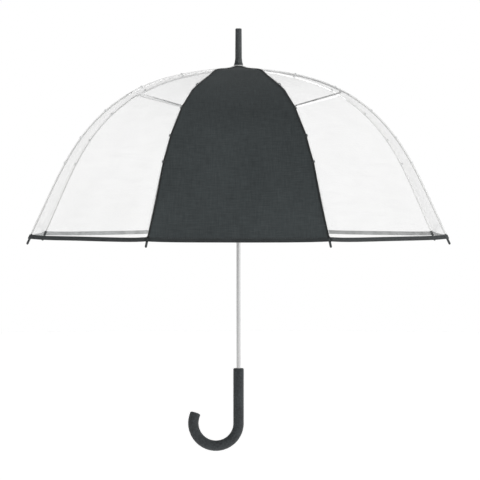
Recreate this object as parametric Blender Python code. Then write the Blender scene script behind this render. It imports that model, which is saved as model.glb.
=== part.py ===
"""Clear bubble umbrella, standing open: metres, +Z up, hook of the handle towards -X, dark panel facing -Y.

The origin is on the shaft's axis, in the middle of the hand's grip.
"""

import math

import bmesh
import bpy
from mathutils import Matrix, Vector

# overall
RIB_COUNT = 8
RIB_LENGTH = 0.6020
APEX_Z = 0.670
RIB_SLOPE_TOP = math.radians(7.0)
RIB_SLOPE_HEM = math.radians(64.0)
SLOPE_STARTS_AT = 0.040
SLOPE_ENDS_AT = 0.520

# shaft, tip and washer
SHAFT_RADIUS = 0.0041
SHAFT_WALL = 0.0007
SHAFT_ABOVE_APEX = 0.034
SHAFT_TOP_Z = APEX_Z + SHAFT_ABOVE_APEX
SHAFT_FOOT_Z = 0.0065
SLIDE_GAP = 0.0004
TIP_ABOVE_APEX = 0.0760
TIP_TOP_Z = APEX_Z + TIP_ABOVE_APEX
TIP_RADIUS = 0.0064
TIP_FOOT_RADIUS = 0.0091
TIP_FLARE_HEIGHT = 0.0135
TIP_BORE_DEPTH = 0.0345
WASHER_RADIUS = 0.0102
WASHER_THICK = 0.0012
TOUCH_GAP = 0.0003

# notched hub and runner
PIVOT_RADIUS = 0.0100
NOTCH_RADIUS = 0.0130
NOTCH_CORE = 0.0066
NOTCH_SLOT = 0.0042
NOTCH_ABOVE = 0.0017
NOTCH_BELOW = 0.0055
WIRE_RADIUS = 0.0006
WIRE_GROOVE = 0.0009
WIRE_HOLE = 0.0010
RUNNER_SLEEVE_RADIUS = 0.0070
RUNNER_SLEEVE_LENGTH = 0.034
RUNNER_FOOT_RADIUS = 0.0092
RUNNER_FOOT_HEIGHT = 0.0045

# ribs and stretchers
CHANNEL_WIDTH = 0.0032
CHANNEL_HEIGHT = 0.0030
CHANNEL_WALL = 0.0006
CHANNEL_END = 0.0019
RIB_UNDER_CANOPY = 0.0033
JOINT_ALONG = 0.2290
JOINT_DROP = 0.0046
EAR_THICK = 0.0012
EAR_RADIUS = 0.0020
EAR_HOLE = 0.0011
PIN_RADIUS = 0.0007
FLEX_BEYOND_JOINT = 0.0080
FLEX_GAP = 0.0010
ROD_RADIUS = 0.0014
ROD_ENDS_AT = 0.611
STRETCHER_WIDTH = 0.0031
STRETCHER_HEIGHT = 0.0026
STRETCHER_WALL = 0.0006
STRETCHER_WEB_CUT = 0.0060
CAP_RADIUS = 0.00225
CAP_BORE = 0.00178
CAP_STARTS_AT = 0.597
CAP_LENGTH = 0.0225

# canopy
FILM_THICK = 0.00025
PANEL_INNER_RADIUS = 0.0062
PANEL_SEAM_GAP = 0.0004
PANEL_SPLIT_GAP = 0.0004
PANEL_BOW = 0.030
HEM_DROP = 0.0032

# crook handle
GRIP_RADIUS = 0.0107
GRIP_TOP_Z = 0.056
GRIP_EDGE = 0.0016
CROOK_RADIUS = 0.0460
CROOK_CENTRE_Z = -0.056
CROOK_SWEEP = math.radians(197.5)
CROOK_TAIL = 0.0050
CROOK_END_EDGE = 0.0030
GRIP_BORE_FOOT_Z = 0.006

# catches
CATCH_THICK = 0.0014
CATCH_REACH = 0.0026
CATCH_HEIGHT = 0.0110
CATCH_ROOT = 0.0026
CATCH_WINDOW = 0.0022
BOTTOM_CATCH_DROP = 0.0235

# tie strap
STRAP_WIDTH = 0.020
STRAP_THICK = 0.0014
STRAP_TOP_AT = 0.473
STRAP_FOOT_AT = 0.574
SNAP_RADIUS = 0.0055
SNAP_THICK = 0.0026

SHAFT_STEEL = ((0.80, 0.80, 0.79), 1.0, 0.22)
FRAME_STEEL = ((0.74, 0.75, 0.75), 1.0, 0.32)
DARK_PLASTIC = ((0.045, 0.052, 0.054), 0.0, 0.55)
DARK_FABRIC = ((0.048, 0.054, 0.056), 0.0, 0.85)
PALE_PLASTIC = ((0.82, 0.83, 0.82), 0.0, 0.45)
WHITE_ROD = ((0.80, 0.80, 0.78), 0.0, 0.50)
CLEAR_FILM = ((0.90, 0.92, 0.92), 0.0, 0.08)


# profile of a rib: distance from the axis and height, along the canopy's outer face
STEPS = 400


def slope_at(s):
    t = min(max((s - SLOPE_STARTS_AT) / (SLOPE_ENDS_AT - SLOPE_STARTS_AT), 0.0), 1.0)
    return RIB_SLOPE_TOP + (RIB_SLOPE_HEM - RIB_SLOPE_TOP) * t * t * (3.0 - 2.0 * t)


def profile_at(s, inset=0.0):
    """Point (distance from axis, height) at s along the rib seam, inset below the canopy."""
    ds = s / STEPS
    r = 0.0
    z = APEX_Z
    for k in range(STEPS):
        a = slope_at((k + 0.5) * ds)
        r += ds * math.cos(a)
        z -= ds * math.sin(a)
    a = slope_at(s)
    return Vector((r - inset * math.sin(a), z - inset * math.cos(a)))


def along_where(radius, inset):
    """How far along the seam the inset curve reaches a distance from the axis."""
    low, high = 0.0, RIB_LENGTH
    for _ in range(40):
        mid = (low + high) / 2
        if profile_at(mid, inset)[0] < radius:
            low = mid
        else:
            high = mid
    return (low + high) / 2


CROWN_ALONG = along_where(PIVOT_RADIUS, RIB_UNDER_CANOPY)
CROWN = profile_at(CROWN_ALONG, RIB_UNDER_CANOPY)
JOINT = profile_at(JOINT_ALONG, RIB_UNDER_CANOPY + JOINT_DROP)
RUNNER_PIVOT_Z = 2.0 * JOINT[1] - CROWN[1]
FLEX_ALONG = JOINT_ALONG + FLEX_BEYOND_JOINT
FLEX = profile_at(FLEX_ALONG, RIB_UNDER_CANOPY)
CLOSED_LEAN = math.radians(3.0)
ARM = math.hypot(JOINT[0] - CROWN[0], JOINT[1] - CROWN[1])
RUNNER_TRAVEL = 2.0 * ARM * math.cos(CLOSED_LEAN) - (CROWN[1] - RUNNER_PIVOT_Z)


def azimuth(index):
    """Rib index's turn about the axis: rib 0 is half a panel to the right of -Y."""
    return math.radians(360.0 / RIB_COUNT) * (index + 0.5)


def out_of(turn):
    return Vector((math.sin(turn), -math.cos(turn), 0.0))


def flat_to_world(turn):
    """From a rib's own plane (x outwards, z up) to the world."""
    return Matrix.Rotation(turn - math.pi / 2, 4, "Z")


def clear_scene():
    for thing in list(bpy.data.objects):
        bpy.data.objects.remove(thing, do_unlink=True)


def material(name, look):
    mat = bpy.data.materials.new(name)
    mat.use_nodes = True
    shader = mat.node_tree.nodes["Principled BSDF"]
    colour, metallic, roughness = look
    shader.inputs["Base Color"].default_value = (*colour, 1.0)
    shader.inputs["Metallic"].default_value = metallic
    shader.inputs["Roughness"].default_value = roughness
    mat.diffuse_color = (*colour, 1.0)
    return mat


def add_object(name, bm, look, smooth=False, origin=(0.0, 0.0, 0.0)):
    """One node: its mesh is in world terms, and its origin goes to the point given."""
    bmesh.ops.recalc_face_normals(bm, faces=bm.faces)
    if bm.calc_volume(signed=True) < 0.0:
        bmesh.ops.reverse_faces(bm, faces=bm.faces)
    bmesh.ops.translate(bm, verts=bm.verts, vec=-Vector(origin))
    mesh = bpy.data.meshes.new(name)
    bm.to_mesh(mesh)
    bm.free()
    for face in mesh.polygons:
        face.use_smooth = smooth
    mesh.materials.append(material(name + "_look", look))
    obj = bpy.data.objects.new(name, mesh)
    obj.location = origin
    bpy.context.scene.collection.objects.link(obj)
    return obj


def prism(points, half_width, middle=0.0):
    """A side view (x outwards, z up) drawn out to both sides along y."""
    bm = bmesh.new()
    verts = [bm.verts.new((p[0], middle - half_width, p[1])) for p in points]
    face = bm.faces.new(verts)
    made = bmesh.ops.extrude_face_region(bm, geom=[face])
    moved = [v for v in made["geom"] if isinstance(v, bmesh.types.BMVert)]
    bmesh.ops.translate(bm, verts=moved, vec=(0.0, 2.0 * half_width, 0.0))
    bmesh.ops.recalc_face_normals(bm, faces=bm.faces)
    return bm


def slab(points, low, high):
    """A plan view drawn out in z."""
    bm = bmesh.new()
    verts = [bm.verts.new((p[0], p[1], low)) for p in points]
    face = bm.faces.new(verts)
    made = bmesh.ops.extrude_face_region(bm, geom=[face])
    moved = [v for v in made["geom"] if isinstance(v, bmesh.types.BMVert)]
    bmesh.ops.translate(bm, verts=moved, vec=(0.0, 0.0, high - low))
    bmesh.ops.recalc_face_normals(bm, faces=bm.faces)
    return bm


def turned(profile, sides=32):
    """A closed outline of (radius, z) points spun about the axis."""
    bm = bmesh.new()
    verts = [bm.verts.new((r, 0.0, z)) for r, z in profile]
    edges = [bm.edges.new((a, b)) for a, b in zip(verts, verts[1:] + verts[:1])]
    bmesh.ops.spin(
        bm,
        geom=verts + edges,
        cent=(0.0, 0.0, 0.0),
        axis=(0.0, 0.0, 1.0),
        dvec=(0.0, 0.0, 0.0),
        angle=2.0 * math.pi,
        steps=sides,
        use_merge=True,
        use_duplicate=False,
    )
    bmesh.ops.remove_doubles(bm, verts=bm.verts, dist=1e-7)
    bmesh.ops.recalc_face_normals(bm, faces=bm.faces)
    return bm


def post(radius, low, high, sides=12):
    """A plain cylinder about the axis."""
    bm = bmesh.new()
    bmesh.ops.create_cone(
        bm,
        cap_ends=True,
        cap_tris=False,
        segments=sides,
        radius1=radius,
        radius2=radius,
        depth=high - low,
        matrix=Matrix.Translation((0.0, 0.0, (low + high) / 2)),
    )
    return bm


def cross_pin(radius, half_length, x, z, sides=12):
    """A cylinder along y."""
    bm = bmesh.new()
    bmesh.ops.create_cone(
        bm,
        cap_ends=True,
        cap_tris=False,
        segments=sides,
        radius1=radius,
        radius2=radius,
        depth=2.0 * half_length,
        matrix=Matrix.Translation((x, 0.0, z)) @ Matrix.Rotation(math.pi / 2, 4, "X"),
    )
    return bm


def box(low, high):
    bm = bmesh.new()
    size = Vector(high) - Vector(low)
    middle = (Vector(high) + Vector(low)) / 2
    bmesh.ops.create_cube(bm, size=1.0, matrix=Matrix.Translation(middle) @ Matrix.Diagonal((*size, 1.0)))
    return bm


def combine(first, others):
    """Exact Boolean of a mesh with (operation, mesh) pairs, in order. Returns a bmesh."""
    holder = bpy.data.meshes.new("work")
    first.to_mesh(holder)
    first.free()
    body = bpy.data.objects.new("work", holder)
    bpy.context.scene.collection.objects.link(body)
    tools = []
    for operation, bm in others:
        mesh = bpy.data.meshes.new("tool")
        bm.to_mesh(mesh)
        bm.free()
        tool = bpy.data.objects.new("tool", mesh)
        bpy.context.scene.collection.objects.link(tool)
        tools.append(tool)
        cut = body.modifiers.new("cut", "BOOLEAN")
        cut.operation = operation
        cut.solver = "EXACT"
        cut.object = tool
    bpy.context.view_layer.update()
    depsgraph = bpy.context.evaluated_depsgraph_get()
    result = bmesh.new()
    result.from_object(body, depsgraph)
    bpy.data.objects.remove(body, do_unlink=True)
    for tool in tools:
        bpy.data.objects.remove(tool, do_unlink=True)
    bmesh.ops.remove_doubles(result, verts=result.verts, dist=1e-7)
    return result


def copy_turned(bm, turn):
    """A copy of a mesh drawn in a rib's own plane, turned to its place."""
    new = bm.copy()
    bmesh.ops.transform(new, matrix=flat_to_world(turn), verts=new.verts)
    return new


# --- fixed middle ---------------------------------------------------------------


def build_shaft():
    tube = turned(
        [
            (SHAFT_RADIUS - SHAFT_WALL, SHAFT_FOOT_Z),
            (SHAFT_RADIUS, SHAFT_FOOT_Z),
            (SHAFT_RADIUS, SHAFT_TOP_Z),
            (SHAFT_RADIUS - SHAFT_WALL, SHAFT_TOP_Z),
        ],
        24,
    )
    cuts = []
    for middle in (top_catch_z(), bottom_catch_z()):
        half = CATCH_HEIGHT / 2 + 0.0006
        low = (-CATCH_WINDOW / 2, 0.0010, middle - half)
        high = (CATCH_WINDOW / 2, 0.0060, middle + half)
        cuts.append(("DIFFERENCE", box(low, high)))
    add_object("shaft_tube", combine(tube, cuts), SHAFT_STEEL)


def build_tip():
    foot = washer_top_z() + TOUCH_GAP
    bore_top = foot + TIP_BORE_DEPTH
    bore = SHAFT_RADIUS + TOUCH_GAP
    outline = [
        (bore, foot),
        (TIP_FOOT_RADIUS, foot),
        (TIP_FOOT_RADIUS, foot + 0.0020),
        (TIP_FOOT_RADIUS - 0.0012, foot + 0.0055),
        (TIP_RADIUS + 0.0004, foot + TIP_FLARE_HEIGHT),
        (TIP_RADIUS, TIP_TOP_Z - 0.0010),
        (TIP_RADIUS - 0.0010, TIP_TOP_Z),
        (0.0, TIP_TOP_Z),
        (0.0, bore_top),
        (bore, bore_top),
    ]
    add_object("ferrule", lathe(outline, 32), DARK_PLASTIC, True)


def lathe(outline, sides):
    """An outline that starts and ends on or off the axis, spun and closed."""
    bm = bmesh.new()
    verts = [bm.verts.new((r, 0.0, z)) for r, z in outline]
    pairs = list(zip(verts, verts[1:]))
    if outline[0][0] > 0.0 or outline[-1][0] > 0.0:
        pairs.append((verts[-1], verts[0]))
    edges = []
    for a, b in pairs:
        if a.co.x > 0.0 or b.co.x > 0.0:
            edges.append(bm.edges.new((a, b)))
    bmesh.ops.spin(
        bm,
        geom=verts + edges,
        cent=(0.0, 0.0, 0.0),
        axis=(0.0, 0.0, 1.0),
        dvec=(0.0, 0.0, 0.0),
        angle=2.0 * math.pi,
        steps=sides,
        use_merge=True,
        use_duplicate=False,
    )
    bmesh.ops.remove_doubles(bm, verts=bm.verts, dist=1e-7)
    loose = [e for e in bm.edges if not e.link_faces]
    bmesh.ops.delete(bm, geom=loose, context="EDGES")
    return bm


def washer_foot_z():
    return APEX_Z + 0.0004


def washer_top_z():
    return washer_foot_z() + WASHER_THICK


def build_washer():
    hole = SHAFT_RADIUS + TOUCH_GAP
    low = washer_foot_z()
    outline = [(hole, low), (WASHER_RADIUS, low), (WASHER_RADIUS, washer_top_z()), (hole, washer_top_z())]
    add_object("top_washer", turned(outline, 32), PALE_PLASTIC, True)


def notch_outline():
    """Plan view of the notched ring: teeth between eight slots."""
    points = []
    for index in range(RIB_COUNT):
        turn = azimuth(index)
        out = out_of(turn)
        side = Vector((math.cos(turn), math.sin(turn), 0.0))
        half = NOTCH_SLOT / 2
        far = math.sqrt(NOTCH_RADIUS**2 - half**2)
        points.append(out * far - side * half)
        points.append(out * NOTCH_CORE - side * half)
        points.append(out * NOTCH_CORE + side * half)
        points.append(out * far + side * half)
        next_turn = azimuth(index + 1)
        first = turn + math.asin(half / NOTCH_RADIUS)
        last = next_turn - math.asin(half / NOTCH_RADIUS)
        for k in (1, 2, 3):
            points.append(out_of(first + (last - first) * k / 4) * NOTCH_RADIUS)
    return [(p[0], p[1]) for p in points]


def groove_cutter(z):
    low, high = z - WIRE_GROOVE, z + WIRE_GROOVE
    inner = PIVOT_RADIUS - WIRE_GROOVE
    return turned([(inner, low), (NOTCH_RADIUS + 0.004, low), (NOTCH_RADIUS + 0.004, high), (inner, high)], 32)


def build_hub():
    ring = slab(notch_outline(), CROWN[1] - NOTCH_BELOW, CROWN[1] + NOTCH_ABOVE)
    bore = post(SHAFT_RADIUS + TOUCH_GAP, CROWN[1] - 0.02, CROWN[1] + 0.02, 24)
    hub = combine(ring, [("DIFFERENCE", bore), ("DIFFERENCE", groove_cutter(CROWN[1]))])
    add_object("crown_hub", hub, DARK_PLASTIC)


def build_runner():
    z = RUNNER_PIVOT_Z
    foot = z - NOTCH_ABOVE - RUNNER_SLEEVE_LENGTH
    ring = slab(notch_outline(), z - NOTCH_BELOW, z + NOTCH_ABOVE)
    sleeve = lathe(
        [
            (0.0, foot),
            (RUNNER_FOOT_RADIUS - 0.0008, foot),
            (RUNNER_FOOT_RADIUS, foot + 0.0008),
            (RUNNER_FOOT_RADIUS, foot + RUNNER_FOOT_HEIGHT),
            (RUNNER_SLEEVE_RADIUS, foot + RUNNER_FOOT_HEIGHT + 0.0020),
            (RUNNER_SLEEVE_RADIUS, z - NOTCH_BELOW - 0.0035),
            (NOTCH_RADIUS - 0.0008, z - NOTCH_BELOW - 0.0010),
            (NOTCH_RADIUS - 0.0008, z - NOTCH_BELOW + 0.0010),
            (0.0, z - NOTCH_BELOW + 0.0010),
        ],
        32,
    )
    bore = post(SHAFT_RADIUS + SLIDE_GAP, foot - 0.01, z + 0.02, 24)
    window = runner_window()
    runner = combine(
        ring,
        [
            ("UNION", sleeve),
            ("DIFFERENCE", bore),
            ("DIFFERENCE", groove_cutter(z)),
            ("DIFFERENCE", window),
        ],
    )
    add_object("runner", runner, DARK_PLASTIC, False, out_of(azimuth(0)) * PIVOT_RADIUS + Vector((0, 0, z)))


def runner_window():
    """Opening in the sleeve that the bottom catch comes up into."""
    middle = RUNNER_PIVOT_Z - BOTTOM_CATCH_DROP
    half = CATCH_HEIGHT / 2 + 0.0010
    return box((-CATCH_WINDOW / 2, 0.0010, middle - half), (CATCH_WINDOW / 2, 0.0150, middle + half))


def runner_foot_z():
    return RUNNER_PIVOT_Z - NOTCH_ABOVE - RUNNER_SLEEVE_LENGTH


def top_catch_z():
    return runner_foot_z() - TOUCH_GAP - CATCH_HEIGHT / 2


def bottom_catch_z():
    return RUNNER_PIVOT_Z - RUNNER_TRAVEL - BOTTOM_CATCH_DROP


def build_catch(name, middle):
    """A sprung blade that stands out of the shaft's far side, flat on top and sloping below."""
    out = SHAFT_RADIUS + CATCH_REACH
    half = CATCH_HEIGHT / 2
    side = [
        (-CATCH_ROOT + SHAFT_RADIUS, middle + half),
        (out - 0.0006, middle + half),
        (out, middle + half - 0.0006),
        (out, middle + half - 0.0018),
        (SHAFT_RADIUS - 0.0010, middle - half),
        (-CATCH_ROOT + SHAFT_RADIUS, middle - half),
    ]
    bm = prism(side, CATCH_THICK / 2)
    bmesh.ops.transform(bm, matrix=Matrix.Rotation(math.pi / 2, 4, "Z"), verts=bm.verts)
    add_object(name, bm, FRAME_STEEL, False, (0.0, SHAFT_RADIUS, middle))


def build_wire(name, z, origin):
    """A ring of wire through the eight eyes."""
    points = []
    for k in range(6):
        a = math.pi / 3 * k
        points.append((PIVOT_RADIUS + WIRE_RADIUS * math.cos(a), z + WIRE_RADIUS * math.sin(a)))
    add_object(name, turned(points, 40), FRAME_STEEL, True, origin)


def build_handle():
    """Straight grip, then the crook, with a blind bore for the shaft."""
    path = [(0.0, GRIP_TOP_Z, GRIP_RADIUS - GRIP_EDGE), (0.0, GRIP_TOP_Z - GRIP_EDGE * 0.35, GRIP_RADIUS - 0.0004)]
    path.append((0.0, GRIP_TOP_Z - GRIP_EDGE, GRIP_RADIUS))
    for z in (0.020, -0.018):
        path.append((0.0, z, GRIP_RADIUS))
    steps = 20
    sections = []
    for x, z, r in path:
        sections.append((Vector((x, 0.0, z)), 0.0, r))
    for k in range(steps + 1):
        turn = CROOK_SWEEP * k / steps
        centre = Vector((-CROOK_RADIUS + CROOK_RADIUS * math.cos(turn), 0.0, CROOK_CENTRE_Z - CROOK_RADIUS * math.sin(turn)))
        sections.append((centre, turn, GRIP_RADIUS))
    end, turn, _ = sections[-1]
    ahead = Vector((-math.sin(turn), 0.0, -math.cos(turn)))
    end = end + ahead * CROOK_TAIL
    sections.append((end, turn, GRIP_RADIUS))
    for k in range(1, 6):
        lean = math.pi / 2.0 * k / 5
        radius = GRIP_RADIUS - CROOK_END_EDGE * (1.0 - math.cos(lean))
        sections.append((end + ahead * (CROOK_END_EDGE * math.sin(lean)), turn, radius))
    bm = bmesh.new()
    rings = []
    sides = 24
    for centre, turn, radius in sections:
        outward = Vector((math.cos(turn), 0.0, -math.sin(turn)))
        ring = []
        for k in range(sides):
            a = 2.0 * math.pi * k / sides
            ring.append(bm.verts.new(centre + radius * (math.cos(a) * outward + math.sin(a) * Vector((0.0, 1.0, 0.0)))))
        rings.append([bm.edges.new((a, b)) for a, b in zip(ring, ring[1:] + ring[:1])])
    bm.faces.new([e.verts[0] for e in rings[0]])
    bm.faces.new([e.verts[0] for e in rings[-1]])
    for first, second in zip(rings, rings[1:]):
        bmesh.ops.bridge_loops(bm, edges=first + second)
    bmesh.ops.recalc_face_normals(bm, faces=bm.faces)
    bore = post(SHAFT_RADIUS + TOUCH_GAP, GRIP_BORE_FOOT_Z, GRIP_TOP_Z + 0.02, 24)
    add_object("crook_handle", combine(bm, [("DIFFERENCE", bore)]), DARK_PLASTIC, True)


# --- ribs and stretchers --------------------------------------------------------


def curve_band(stations, top, bottom, inset):
    """Side view of a strip that follows the seam: heights are above the inset curve."""
    upper = [profile_at(s, inset - top) for s in stations]
    lower = [profile_at(s, inset - bottom) for s in stations]
    return [tuple(p) for p in upper + lower[::-1]]


def spread(first, last, count):
    return [first + (last - first) * k / count for k in range(count + 1)]


def build_inner_rib():
    """Steel channel, open side down, with two eyes at the crown and the ear for the stretcher."""
    half = CHANNEL_HEIGHT / 2
    end = FLEX_ALONG - FLEX_GAP
    round_off = CHANNEL_END * 0.55
    stations = [CROWN_ALONG - CHANNEL_END + round_off] + spread(CROWN_ALONG + 0.012, end, 12)
    upper = [profile_at(s, RIB_UNDER_CANOPY - half) for s in stations]
    lower = [profile_at(s, RIB_UNDER_CANOPY + half) for s in stations]
    nose_low = profile_at(CROWN_ALONG - CHANNEL_END, RIB_UNDER_CANOPY + half - round_off)
    nose_high = profile_at(CROWN_ALONG - CHANNEL_END, RIB_UNDER_CANOPY - half + round_off)
    outline = [tuple(p) for p in upper + lower[::-1] + [nose_low, nose_high]]
    body = prism(outline, CHANNEL_WIDTH / 2)
    inside = spread(CROWN_ALONG - 0.006, end + 0.006, 14)
    hollow = prism(curve_band(inside, half - CHANNEL_WALL, -half - 0.003, RIB_UNDER_CANOPY), CHANNEL_WIDTH / 2 - CHANNEL_WALL)
    eye = cross_pin(WIRE_HOLE, CHANNEL_WIDTH, CROWN[0], CROWN[1])
    slope = slope_at(JOINT_ALONG)
    below = Vector((-math.sin(slope), -math.cos(slope)))
    ahead = Vector((math.cos(slope), -math.sin(slope)))
    top_of_ear = JOINT - below * (JOINT_DROP + half - CHANNEL_WALL / 2)
    ear_points = [top_of_ear - ahead * EAR_RADIUS, top_of_ear + ahead * EAR_RADIUS]
    for k in range(9):
        a = math.pi * k / 8
        ear_points.append(JOINT + ahead * (EAR_RADIUS * math.cos(a)) + below * (EAR_RADIUS * math.sin(a)))
    ear = prism([tuple(p) for p in ear_points], EAR_THICK / 2)
    ear_hole = cross_pin(EAR_HOLE, 0.0030, JOINT[0], JOINT[1])
    rib = combine(
        body,
        [("DIFFERENCE", hollow), ("DIFFERENCE", eye), ("UNION", ear), ("DIFFERENCE", ear_hole)],
    )
    for index in range(RIB_COUNT):
        turn = azimuth(index)
        origin = out_of(turn) * CROWN[0] + Vector((0, 0, CROWN[1]))
        add_object(f"rib_inner_{index + 1}", copy_turned(rib, turn), FRAME_STEEL, False, origin)
    rib.free()


def swept_rod(stations, radius, inset, sides):
    """A round rod along the inset curve, in the rib's own plane."""
    bm = bmesh.new()
    rings = []
    for s in stations:
        p = profile_at(s, inset)
        a = slope_at(s)
        up = Vector((math.sin(a), 0.0, math.cos(a)))
        across = Vector((0.0, 1.0, 0.0))
        ring = []
        for k in range(sides):
            t = 2.0 * math.pi * (k + 0.5) / sides
            ring.append(bm.verts.new(Vector((p[0], 0.0, p[1])) + radius * (math.cos(t) * across + math.sin(t) * up)))
        rings.append([bm.edges.new((a1, b1)) for a1, b1 in zip(ring, ring[1:] + ring[:1])])
    bm.faces.new([e.verts[0] for e in rings[0]])
    bm.faces.new([e.verts[0] for e in rings[-1]])
    for first, second in zip(rings, rings[1:]):
        bmesh.ops.bridge_loops(bm, edges=first + second)
    bmesh.ops.recalc_face_normals(bm, faces=bm.faces)
    return bm


def build_outer_rib():
    rod = swept_rod(spread(FLEX_ALONG + FLEX_GAP, ROD_ENDS_AT, 14), ROD_RADIUS, RIB_UNDER_CANOPY, 8)
    for index in range(RIB_COUNT):
        turn = azimuth(index)
        origin = out_of(turn) * FLEX[0] + Vector((0, 0, FLEX[1]))
        add_object(f"rib_outer_{index + 1}", copy_turned(rod, turn), WHITE_ROD, False, origin)
    rod.free()


def build_tip_caps():
    """Cap with a round end and a blind hole for the rod, turned about z then laid along the rib."""
    length = CAP_LENGTH
    outline = [
        (CAP_BORE, 0.0),
        (CAP_RADIUS - 0.0002, 0.0),
        (CAP_RADIUS, -0.0002),
        (CAP_RADIUS, -(length - CAP_RADIUS)),
        (CAP_RADIUS * 0.80, -(length - CAP_RADIUS * 0.40)),
        (CAP_RADIUS * 0.42, -(length - CAP_RADIUS * 0.09)),
        (0.0, -length),
        (0.0, -(ROD_ENDS_AT - CAP_STARTS_AT + 0.0006)),
        (CAP_BORE, -(ROD_ENDS_AT - CAP_STARTS_AT + 0.0006)),
    ]
    cap = lathe(outline, 16)
    middle = (CAP_STARTS_AT + ROD_ENDS_AT) / 2
    slope = slope_at(middle)
    at = profile_at(middle, RIB_UNDER_CANOPY)
    ahead = Vector((math.cos(slope), 0.0, -math.sin(slope)))
    start = Vector((at[0], 0.0, at[1])) - ahead * (middle - CAP_STARTS_AT)
    lay = Matrix.Translation(start) @ Matrix.Rotation(-(math.pi / 2 - slope), 4, "Y")
    bmesh.ops.transform(cap, matrix=lay, verts=cap.verts)
    for index in range(RIB_COUNT):
        turn = azimuth(index)
        origin = out_of(turn) * FLEX[0] + Vector((0, 0, FLEX[1]))
        add_object(f"rib_tip_{index + 1}", copy_turned(cap, turn), DARK_PLASTIC, True, origin)
    cap.free()


def build_stretchers():
    """Channel from the runner's wire to the rib's ear, with the rivet through its fork."""
    foot = Vector((PIVOT_RADIUS, RUNNER_PIVOT_Z))
    reach = JOINT - foot
    length = reach.length
    along = reach / length
    up = Vector((-along[1], along[0]))
    half = STRETCHER_HEIGHT / 2

    def at(distance, height):
        p = foot + along * distance + up * height
        return (p[0], p[1])

    nose = CHANNEL_END * 0.5
    outline = [
        at(-CHANNEL_END, nose - half + 0.0003),
        at(-CHANNEL_END + nose, -half),
        at(length + CHANNEL_END - nose, -half),
        at(length + CHANNEL_END, nose - half + 0.0003),
        at(length + CHANNEL_END, half - nose - 0.0003),
        at(length + CHANNEL_END - nose, half),
        at(-CHANNEL_END + nose, half),
        at(-CHANNEL_END, half - nose - 0.0003),
    ]
    body = prism(outline, STRETCHER_WIDTH / 2)
    groove = STRETCHER_WIDTH / 2 - STRETCHER_WALL
    web = half - STRETCHER_WALL
    fork_from = length - STRETCHER_WEB_CUT
    space = [at(-0.01, -half - 0.002), at(length + 0.01, -half - 0.002), at(length + 0.01, half + 0.002)]
    space += [at(fork_from, half + 0.002), at(fork_from, web), at(-0.01, web)]
    hollow = prism(space, groove)
    wire_eye = cross_pin(WIRE_HOLE, STRETCHER_WIDTH, foot[0], foot[1])
    rivet = cross_pin(PIN_RADIUS, STRETCHER_WIDTH / 2 + 0.0005, JOINT[0], JOINT[1])
    stretcher = combine(
        body,
        [("DIFFERENCE", hollow), ("DIFFERENCE", wire_eye), ("UNION", rivet)],
    )
    for index in range(RIB_COUNT):
        turn = azimuth(index)
        origin = out_of(turn) * JOINT[0] + Vector((0, 0, JOINT[1]))
        add_object(f"stretcher_{index + 1}", copy_turned(stretcher, turn), FRAME_STEEL, False, origin)
    stretcher.free()


# --- canopy ---------------------------------------------------------------------

HALF_STEP = math.pi / RIB_COUNT


def panel_point(s, across, inset):
    """Point of a panel in its own plane: x out of the axis, y across, across from -1 to 1."""
    edge = profile_at(s)
    reach = edge[0] * math.cos(HALF_STEP)
    half = max(edge[0] * math.sin(HALF_STEP) - PANEL_SEAM_GAP / 2 / math.cos(HALF_STEP), 0.0002)
    t = min(max(s / RIB_LENGTH, 0.0), 1.0)
    bow = PANEL_BOW * half * (1.0 - across * across) * math.sin(math.pi * t) ** 0.8
    slope = slope_at(s)
    drop = HEM_DROP * (1.0 - across**6) * t**9
    depth = bow + inset
    outwards = reach - depth * math.sin(slope) + drop * math.cos(slope)
    return Vector((outwards, half * across, edge[1] - depth * math.cos(slope) - drop * math.sin(slope)))


def panel_mesh(first, last, along, sides):
    """Closed shell between two distances along the seam."""
    bm = bmesh.new()
    layers = []
    for inset in (0.0, FILM_THICK):
        grid = []
        for s in spread(first, last, along):
            row = [bm.verts.new(panel_point(s, -1.0 + 2.0 * k / sides, inset)) for k in range(sides + 1)]
            grid.append(row)
        layers.append(grid)
    outer, inner = layers
    for grid in layers:
        for j in range(along):
            for k in range(sides):
                bm.faces.new((grid[j][k], grid[j][k + 1], grid[j + 1][k + 1], grid[j + 1][k]))
    for k in range(sides):
        bm.faces.new((outer[0][k], outer[0][k + 1], inner[0][k + 1], inner[0][k]))
        bm.faces.new((outer[-1][k], outer[-1][k + 1], inner[-1][k + 1], inner[-1][k]))
    for j in range(along):
        bm.faces.new((outer[j][0], outer[j + 1][0], inner[j + 1][0], inner[j][0]))
        bm.faces.new((outer[j][-1], outer[j + 1][-1], inner[j + 1][-1], inner[j][-1]))
    bmesh.ops.recalc_face_normals(bm, faces=bm.faces)
    return bm


def panel_turn(index):
    return math.radians(360.0 / RIB_COUNT) * index


def upper_hinge():
    return Vector((CROWN[0] * math.cos(HALF_STEP), 0.0, CROWN[1]))


def lower_hinge():
    return Vector((JOINT[0] * math.cos(HALF_STEP), 0.0, JOINT[1]))


def build_panels():
    start = PANEL_INNER_RADIUS / math.cos(RIB_SLOPE_TOP)
    upper = panel_mesh(start, JOINT_ALONG - PANEL_SPLIT_GAP / 2, 7, 4)
    lower = panel_mesh(JOINT_ALONG + PANEL_SPLIT_GAP / 2, RIB_LENGTH, 8, 4)
    for index in range(RIB_COUNT):
        turn = panel_turn(index)
        look = DARK_FABRIC if index == 0 else CLEAR_FILM
        place = flat_to_world(turn)
        add_object(f"panel_upper_{index + 1}", copy_turned(upper, turn), look, False, place @ upper_hinge())
        add_object(f"panel_lower_{index + 1}", copy_turned(lower, turn), look, False, place @ lower_hinge())
    upper.free()
    lower.free()


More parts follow.
